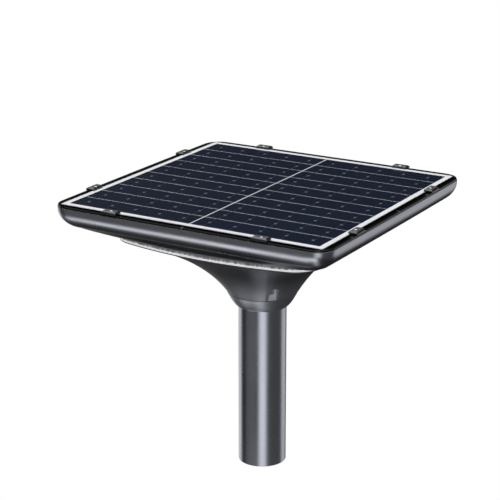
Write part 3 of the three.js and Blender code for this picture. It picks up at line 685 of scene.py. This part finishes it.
def pole():
    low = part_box("pole")[0].z
    foot = (GLASS_TOP - low) / MM
    outside, inside = POLE_RADIUS - POLE_EDGE, POLE_BORE + POLE_EDGE
    profile = [(inside, POLE_TOP), (outside, POLE_TOP), (POLE_RADIUS, POLE_TOP + POLE_EDGE),
               (POLE_RADIUS, foot - POLE_EDGE), (outside, foot), (inside, foot),
               (POLE_BORE, foot - POLE_EDGE), (POLE_BORE, POLE_TOP + POLE_EDGE)]
    return turned("pole_tube", profile, "pole_paint", 128)


RIB_PITCH, RIB_DEPTH, RING_TOP, BEAD_BOTTOM = 1.9, 0.55, 43.8, 48.8


def lens_ring():
    """Band of fine upright ribs above a smooth bead."""
    dense = np.linspace(0, 2 * math.pi, 7200, endpoint=False)
    radii = ring_outline(RING_HALF, dense)
    points = np.stack([radii * np.cos(dense), radii * np.sin(dense)], 1)
    steps = np.linalg.norm(np.roll(points, -1, 0) - points, axis=1)
    along = np.concatenate([[0], np.cumsum(steps)])
    ribs = 4 * round(along[-1] / RIB_PITCH / 4)
    angles = np.interp(np.arange(2 * ribs) / (2 * ribs) * along[-1], along, np.append(dense, 2 * math.pi))
    crest = np.arange(2 * ribs) % 2 == 0

    def ribbed(half, depth):
        return (angles, ring_outline(half, angles) - np.where(crest, 0, RIB_DEPTH), depth)

    def plain(half, depth):
        return (angles, ring_outline(half, angles), depth)

    ribs_above = [plain(145, RING_TOP), plain(146.2, RING_TOP), ribbed(146.9, 44.0), ribbed(147, 45.4),
                  ribbed(147, 46.8)]
    bead = [plain(146.3, 46.9), plain(146.8, 47.2), plain(147, 48.0), plain(146.9, 48.6),
            plain(146.7, BEAD_BOTTOM), plain(145, BEAD_BOTTOM)]
    back = [plain(145, 48.0), plain(139.3, 48.0), plain(139.3, 44.8), plain(145, 44.8)]
    # The bead and the lowest rib row glow: painted light.
    clear, white, lit = 0, 1, 2
    row_slots = [clear] * 3 + [lit] + [white] * 7 + [clear] * 4
    return lofted("light_ring", ribs_above + bead + back, "lens_clear", sharp=20,
                  extra=("lens_bead", "lens_lit"), row_slots=row_slots)


# ---- panel ----
PANEL_HALF, PANEL_CORNER, FIELD_HALF, ROWS, ROW_GAP, CENTRE_GAP = 174, 1.5, 167, 10, 0.8, 1.5
RIBBONS, RIBBON_WIDTH, RIBBON_RISE, PAD_LENGTH, PAD_WIDTH, PAD_TOP = 5, 0.7, 0.02, 5.2, 4.6, 0.265
GLASS_LOW, CELL_TOP, CELL_LOW, SHEET_TOP, SHEET_LOW = 0.25, 0.30, 0.34, 0.36, 4.8
BOX_FACES = ((3, 2, 1, 0), (4, 5, 6, 7), (0, 1, 5, 4), (1, 2, 6, 5), (2, 3, 7, 6), (3, 0, 4, 7))


def slabs(parts):
    """Vertices and faces of flat parts, each given by four corners in mm, a top and a low depth."""
    verts, faces = [], []
    for corners, top, low in parts:
        base = len(verts)
        verts += [(x * MM, y * MM, at(d)) for d in (low, top) for x, y in corners]
        faces += [tuple(base + i for i in f) for f in BOX_FACES]
    return verts, faces


def oblong(x0, y0, x1, y1):
    return (x0, y0), (x1, y0), (x1, y1), (x0, y1)


def diamond(x, y, half_width, half_length):
    return (x, y - half_length), (x + half_width, y), (x, y + half_length), (x - half_width, y)


def cell_string(name, side):
    """One half's strips of cell, the ribbons across them, and a soldered pad at every crossing."""
    pitch = 2 * FIELD_HALF / ROWS
    width = FIELD_HALF - CENTRE_GAP / 2
    left = CENTRE_GAP / 2 if side > 0 else -FIELD_HALF
    strip_half, ribbon_half = (pitch - ROW_GAP) / 2, RIBBON_WIDTH / 2
    rows = [-FIELD_HALF + pitch * (k + 0.5) for k in range(ROWS)]
    lines = [left + width * (k + 0.5) / RIBBONS for k in range(RIBBONS)]
    ribbon_top, ribbon_low = CELL_TOP - RIBBON_RISE, CELL_TOP + RIBBON_RISE
    strips = [(oblong(left, y - strip_half, left + width, y + strip_half), CELL_TOP, CELL_LOW) for y in rows]
    ribbons = [(oblong(x - ribbon_half, rows[0] - strip_half, x + ribbon_half, rows[-1] + strip_half),
                ribbon_top, ribbon_low) for x in lines]
    pads = [(diamond(x, y, PAD_WIDTH / 2, PAD_LENGTH / 2), PAD_TOP, ribbon_low) for y in rows for x in lines]
    verts, faces = slabs(strips + ribbons + pads)
    face_slots = [slot for slot, group in enumerate((strips, ribbons, pads)) for _ in range(6 * len(group))]
    return mesh_object(name, verts, faces, "silicon", extra=("ribbon", "ribbon_pad"), face_slots=face_slots)


def plate_with_edge(name, top, low, slot):
    """Flat sheet whose sides are dark below a thin strip of the sheet's own colour; the dark sides are
    painted shade.
    """
    edge, lit = 0.04, min(0.55, (low - top) / 2)
    rows = ((PANEL_HALF - edge, top), (PANEL_HALF, top + edge), (PANEL_HALF, top + lit),
            (PANEL_HALF, low - edge), (PANEL_HALF - edge, low))
    sections = [square_section(reach, PANEL_CORNER, depth, STRAIGHT) for reach, depth in rows]
    return lofted(name, sections, slot, hollow=False, extra=("panel_edge",), row_slots=[0, 0, 1, 1])


# ---- bezel ----
SEAM_GAP, SEAM_EDGE = 0.2, 0.3
CLIP_PLACE, CLIP_SCREW = 100, 176.6
# (half width, corner radius, depth, bow) round the band's section, from its top outer edge
BEZEL = ((183.25, 22.2, 0.85, SLIGHT_BOW), (183.5, 22.3, 1.1, SLIGHT_BOW), (183.5, 22.3, 2.7, SLIGHT_BOW),
         (180.4, 16, 2.7, SLIGHT_BOW), (180.4, 16, 7.3, SLIGHT_BOW), (174.6, 1, 7.3, STRAIGHT),
         (174.6, 1, 4.2, STRAIGHT), (178.7, 16, 4.2, STRAIGHT), (178.7, 16, 2.3, STRAIGHT),
         (179.4, 16.7, 0.85, STRAIGHT))
BEZEL_LIP = 8


def bezel_corner(name, quarter):
    """One quarter of the black band. Its ends stop short of the seam and have a paler edge, a painted
    highlight.
    """
    octant = octant_angles()
    angles = np.array(octant + [CORNER] + [QUARTER - a for a in reversed(octant)])
    verts = []
    for half, corner, depth, bow in BEZEL:
        radii = rounded_square(angles, half, corner, bow)
        x, y = radii * np.cos(angles), radii * np.sin(angles)
        x[-2:] = SEAM_GAP + SEAM_EDGE, SEAM_GAP
        y[:2] = SEAM_GAP, SEAM_GAP + SEAM_EDGE
        verts += [spin(quarter) @ Vector((a * MM, b * MM, at(depth))) for a, b in zip(x, y)]
    columns, rows = len(angles), len(BEZEL)
    faces = ring_faces(rows, columns, True, False)
    # The lip row's grey metal is a painted reflection on the band's inner wall; the pale ends are a painted
    # highlight.
    black, lip, highlit_edge = 0, 1, 2
    across = [highlit_edge] + [black] * (columns - 3) + [highlit_edge]
    face_slots = []
    for row in range(rows):
        face_slots += [lip] * (columns - 1) if row == BEZEL_LIP else across
    face_slots += [black, black]
    faces.append(tuple(row * columns for row in range(rows)))
    faces.append(tuple(reversed([row * columns + columns - 1 for row in range(rows)])))
    body = mesh_object(name, verts, faces, "bezel_black", 30, ("bezel_lip", "seam_edge"), face_slots)
    for x, y in ((CLIP_SCREW, CLIP_PLACE), (CLIP_PLACE, CLIP_SCREW)):
        boolean(body, "DIFFERENCE", prism("hole", circle(1.9, 16, x, y), at(9), at(3), "bezel_black",
                                          spin(quarter)))
    finish_mesh(body.data, 30)
    return body


# ---- clips and screws ----
CLIP_INNER, CLIP_OUTER, CLIP_TOP, CLIP_LENGTH = 172.4, 183.9, -3.2, 20.5
CLIP_FOOT, CLIP_REBATE, CLIP_TONGUE = 0.55, 178.4, (174.4, 3.9)


def clip(name, place):
    """Block with sloping ends, a rounded top and a sunk screw seat; built on the +X side."""
    inner, low = CLIP_TONGUE
    outline = [(CLIP_INNER, -0.3), (CLIP_INNER, -1.9), (CLIP_INNER + 1.5, CLIP_TOP),
               (CLIP_OUTER - 2.6, CLIP_TOP), (CLIP_OUTER - 0.9, -2.3), (CLIP_OUTER, -0.9),
               (CLIP_OUTER, CLIP_FOOT), (CLIP_REBATE, CLIP_FOOT), (CLIP_REBATE, low), (inner, low),
               (inner, -0.3)]
    stand = Matrix.Rotation(QUARTER, 4, "X")
    half = CLIP_LENGTH / 2 * MM
    lift = Matrix.Translation((0, 0, GLASS_TOP))
    body = prism(name, [(r, -d) for r, d in outline], -half, half, "clip_black", lift @ stand)
    for end in (-1, 1):
        wedge = [(-15, -4), (15, -4), (15, 4), (-15, 4)]
        tilt = Matrix.Rotation(end * CORNER, 4, "X")
        move = Matrix.Translation((176 * MM, end * half, at(CLIP_TOP - 3.8)))
        boolean(body, "DIFFERENCE", prism("wedge", wedge, -4 * MM, 4 * MM, "clip_black", move @ tilt))
    bevel(body, 0.75, 4, 25)
    seat_profile = [(0, -9), (3.2, -9), (3.2, -3.3), (2.8, -2.9), (2.8, -1.9), (0, -1.9)]
    seat = turned("seat", seat_profile, "clip_black", 40, CLIP_SCREW, 0, closed=False)
    hole = prism("hole", circle(1.9, 20, CLIP_SCREW, 0), at(5), at(-3), "clip_black")
    slot = prism("slot", [(174.1, -4), (179.1, -4), (179.1, 4), (174.1, 4)], at(5), at(0.6), "clip_black")
    boolean(body, "DIFFERENCE", seat, hole, slot)
    finish_mesh(body.data, 34)
    body.data.transform(place)
    return body


def clip_screw(name, place):
    """Domed head with a hexagon socket, and a shank that goes through the bezel."""
    head, shank, seat, end = 2.5, 1.4, -2.2, 11.5
    dome = [(head * math.sin(a), -2.65 - 0.75 * math.cos(a)) for a in np.linspace(0.0, QUARTER, 9)]
    profile = dome + [(head, seat - 0.05), (head - 0.05, seat), (shank, seat), (shank, end - 0.3),
                      (shank - 0.3, end), (0, end)]
    body = turned(name, profile, "screw_steel", 32, CLIP_SCREW, 0, closed=False)
    socket = prism("socket", circle(1.25, 6, CLIP_SCREW, 0), at(-2.55), at(-5), "screw_steel")
    boolean(body, "DIFFERENCE", socket)
    finish_mesh(body.data, 34)
    body.data.transform(place)
    return body


THREAD_CREST, THREAD_ROOT, THREAD_PITCH, THREAD_START, THREAD_END = 2.9, 2.62, 0.8, 31.4, 41.6
SET_SCREW_TIP, SET_SCREW_END = 30.5, 42.6


def clamp_screw(name, quarter):
    """Set screw with a chamfered tip, a thread and a hexagon socket, which points at the pole."""
    profile = [(2.1, SET_SCREW_TIP), (2.6, SET_SCREW_TIP + 0.6)]
    for k in range(int((THREAD_END - THREAD_START) / THREAD_PITCH)):
        reach = THREAD_START + k * THREAD_PITCH
        profile += [(THREAD_ROOT, reach), (THREAD_CREST, reach + THREAD_PITCH * 0.4),
                    (THREAD_ROOT, reach + THREAD_PITCH * 0.8)]
    profile += [(THREAD_CREST, 41.9), (THREAD_CREST - 0.2, SET_SCREW_END)]
    place, segments = outwards(quarter, POCKET_SCREW), 32
    verts = [place @ Vector((x * MM, y * MM, reach * MM))
             for radius, reach in profile for x, y in circle(radius, segments)]
    faces = ring_faces(len(profile), segments, False)
    faces += [tuple(reversed(range(segments))),
              tuple(range((len(profile) - 1) * segments, len(profile) * segments))]
    body = mesh_object(name, verts, faces, "set_screw_steel")
    socket = prism("socket", circle(1.7, 6), (SET_SCREW_END - 3) * MM, 44 * MM, "set_screw_steel", place)
    boolean(body, "DIFFERENCE", socket)
    finish_mesh(body.data, 34)
    return body


# ---- power button and its spring ----
BUTTON_RADIUS, BUTTON_FLANGE, BUTTON_ROUND, BUTTON_TRAVEL = 4.6, 5.6, 0.9, 1.5
BUTTON_TOP, BUTTON_END, FLANGE_THICKNESS, FLANGE_EDGE = 59, 70, 1.7, 0.2
SPRING_RADIUS, SPRING_WIRE, SPRING_TURNS = 4.2, 0.3, 4
SPRING_TOP, SPRING_LOW, SPRING_SEAT, SPRING_SLACK = 50.7, 58.3, 50.3, 0.1


def power_cap():
    """Rubber cap with a flange that holds it in, a rounded rim and a shallow dish for the finger."""
    rim = [(BUTTON_RADIUS + BUTTON_ROUND * (math.cos(a) - 1), BUTTON_END + BUTTON_ROUND * (math.sin(a) - 1))
           for a in np.linspace(0, QUARTER, 7)]
    flange_low = BUTTON_TOP + FLANGE_THICKNESS
    profile = [(0, BUTTON_TOP), (BUTTON_FLANGE - FLANGE_EDGE, BUTTON_TOP),
               (BUTTON_FLANGE, BUTTON_TOP + FLANGE_EDGE), (BUTTON_FLANGE, flange_low - FLANGE_EDGE),
               (BUTTON_FLANGE - FLANGE_EDGE, flange_low), (BUTTON_RADIUS, flange_low), *rim,
               (BUTTON_RADIUS - 1.6, BUTTON_END - 0.2), (1.2, BUTTON_END - 0.5), (0, BUTTON_END - 0.5)]
    return turned("power_cap", profile, "button_rubber", 48, 0, BUTTON_Y, closed=False)


def return_spring():
    """Coil of round wire between the housing and the cap."""
    steps, sides = 24 * SPRING_TURNS, 8
    verts = []
    for k in range(steps + 1):
        around = 2 * math.pi * SPRING_TURNS * k / steps
        depth = SPRING_TOP + (SPRING_LOW - SPRING_TOP) * k / steps
        for j in range(sides):
            a = 2 * math.pi * j / sides
            reach = SPRING_RADIUS + SPRING_WIRE * math.cos(a)
            verts.append((reach * math.cos(around) * MM, (BUTTON_Y + reach * math.sin(around)) * MM,
                          at(depth + SPRING_WIRE * math.sin(a))))
    faces = ring_faces(steps + 1, sides, False)
    faces += [tuple(reversed(range(sides))), tuple(range(steps * sides, (steps + 1) * sides))]
    return mesh_object("return_spring", verts, faces, "spring_steel")


# ---- build the head, and hide the CAD nodes each piece stands for ----
def keep(obj, body, slot, *stood_for):
    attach(obj, body)
    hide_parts(*stood_for)
    return obj


keep(tray(), "head", "tray_paint", "tray_shell")
keep(funnel(), "head", "housing_paint", "funnel")
keep(collar_ring(), "head", "housing_paint", "collar_ring")
keep(lens_ring(), "head", "lens_clear", "lens_ring")
keep(pole(), "pole", "pole_paint", "pole")
keep(plate_with_edge("cover_glass", 0, GLASS_LOW, "panel_glass"), "head", "panel_glass", "panel_glass")
keep(cell_string("cells_left", -1), "head", "silicon", "cell_string_left")
keep(cell_string("cells_right", 1), "head", "silicon", "cell_string_right")
keep(plate_with_edge("white_sheet", SHEET_TOP, SHEET_LOW, "backsheet"), "head", "backsheet", "backsheet")
for corner in range(4):
    keep(bezel_corner(f"bezel_{corner + 1}", corner), "head", "bezel_black", f"bezel_corner_{corner + 1}")
    for number, side in enumerate((-1, 1), 2 * corner + 1):
        spot = spin(corner) @ Matrix.Translation((0, side * CLIP_PLACE * MM, 0))
        keep(clip(f"clip_{number}", spot), "head", "clip_black", f"panel_clip_{number}")
        keep(clip_screw(f"clip_bolt_{number}", spot), "head", "screw_steel", f"clip_screw_{number}")
    keep(clamp_screw(f"set_screw_{corner + 1}", corner), f"clamp_screw_{corner + 1}", "set_screw_steel",
         f"clamp_screw_{corner + 1}")

keep(power_cap(), "power_button", "button_rubber", "power_button")
spring = keep(return_spring(), "head", "spring_steel", "button_spring")
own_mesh(spring)

# ---- CAD nodes that show as they are get their slot's material ----
slots = {part["node"]: part["material_slot"] for part in frame["record"]["subparts"]}
for name, node in nodes.items():
    if node.hide_render:
        continue
    node.data.materials.clear()
    node.data.materials.append(materials[slots[name]])
    node.data.shade_smooth()
    node.data.set_sharp_from_angle(angle=math.radians(32))


# ---- surroundings: pale floor and backdrop, seen only directly ----
def pale(name):
    """Even white that takes no light."""
    n = new_material(name)
    n.tree.nodes.clear()
    glow = n.new("Emission")
    fill(glow.inputs["Color"], (1, 1, 1))
    fill(glow.inputs["Strength"], 1.0)
    n.link(glow.outputs[0], n.new("OutputMaterial").inputs["Surface"])
    return n.owner


def staged(name, radius, dome):
    shape = bmesh.new()
    if dome:
        bmesh.ops.create_uvsphere(shape, u_segments=64, v_segments=32, radius=radius)
    else:
        bmesh.ops.create_circle(shape, cap_ends=True, segments=96, radius=radius)
    mesh = bpy.data.meshes.new(name)
    shape.to_mesh(mesh)
    shape.free()
    mesh.materials.append(pale(name))
    obj = bpy.data.objects.new(name, mesh)
    scene.collection.objects.link(obj)
    obj.visible_diffuse = obj.visible_glossy = obj.visible_transmission = False
    obj.visible_shadow = obj.visible_volume_scatter = False
    return obj


floor = staged("floor", 12, False)
floor.location.z = -0.002
staged("backdrop", 12.5, True)


# ---- studio light: soft panels of light by direction, plus a softbox above ----
class Studio:
    """Soft panels of light round the object, each a window in azimuth and elevation, in degrees."""

    def __init__(self, ambient):
        scene.world = bpy.data.worlds.new("studio")
        self.nodes = Nodes(scene.world)
        m = self.nodes.math
        self.x, self.y, z = self.nodes.split(self.nodes.coordinates["Generated"])
        flat = m("SQRT", m("ADD", m("MULTIPLY", self.x, self.x), m("MULTIPLY", self.y, self.y)))
        self.flat = m("MAXIMUM", flat, 1e-4)
        self.rise = m("ARCSINE", z)
        self.total = ambient

    def window(self, distance, half, soft):
        """1 where the distance in radians is under half the window, and 0 past its soft edge."""
        near, far = math.radians(half - soft / 2), math.radians(half + soft / 2)
        return self.nodes.ranged(distance, near, far, 1, 0, smooth=True)

    def panel(self, azimuth, half_azimuth, elevation, half_elevation, soft, strength):
        """Azimuth 0 is towards -Y and 90 towards +X."""
        m = self.nodes.math
        angle = math.radians(azimuth)
        across = m("ADD", m("MULTIPLY", self.x, math.sin(angle)), m("MULTIPLY", self.y, -math.cos(angle)))
        turn = m("ARCCOSINE", m("MINIMUM", m("MAXIMUM", m("DIVIDE", across, self.flat), -1.0), 1.0))
        rise = m("ABSOLUTE", m("SUBTRACT", self.rise, math.radians(elevation)))
        light = m("MULTIPLY", self.window(turn, half_azimuth, soft), self.window(rise, half_elevation, soft))
        self.total = m("ADD", m("MULTIPLY", light, strength), self.total)

    def done(self, colour):
        background = self.nodes.tree.nodes["Background"]
        fill(background.inputs["Strength"], self.total)
        fill(background.inputs["Color"], colour)


ALL_ROUND = 200
studio = Studio(ambient=0.014)
# azimuth, half its width, elevation, half its height, soft edge, strength
studio.panel(31, 17, -20, 16, 20, 1.5)           # bright streak down the pole
studio.panel(-28, 27, -12, 20, 20, 0.145)        # grey beside it
studio.panel(-114, 24, -22, 12, 14, 0.98)        # left edge light
studio.panel(155, 20, -18, 12, 10, 0.8)          # right side of the tray and the pole's right strip
studio.panel(90, 50, -15, 30, 20, 0.07)          # keeps the dark strip between from going black
studio.panel(-21, 47, -50, 8, 12, 2.05)          # low front panel: the streak along the tray
studio.panel(14, 22, -70, 14, 20, 1.15)          # fades the streak out down the funnel
studio.panel(0, ALL_ROUND, -90, 8, 14, 0.6)      # under the lamp
studio.panel(245, 28, 20, 14, 20, 0.06)          # faint light behind on the left
studio.panel(0, ALL_ROUND, 90, 42, 16, 2.7)      # overhead
studio.done((0.985, 0.99, 1.0))
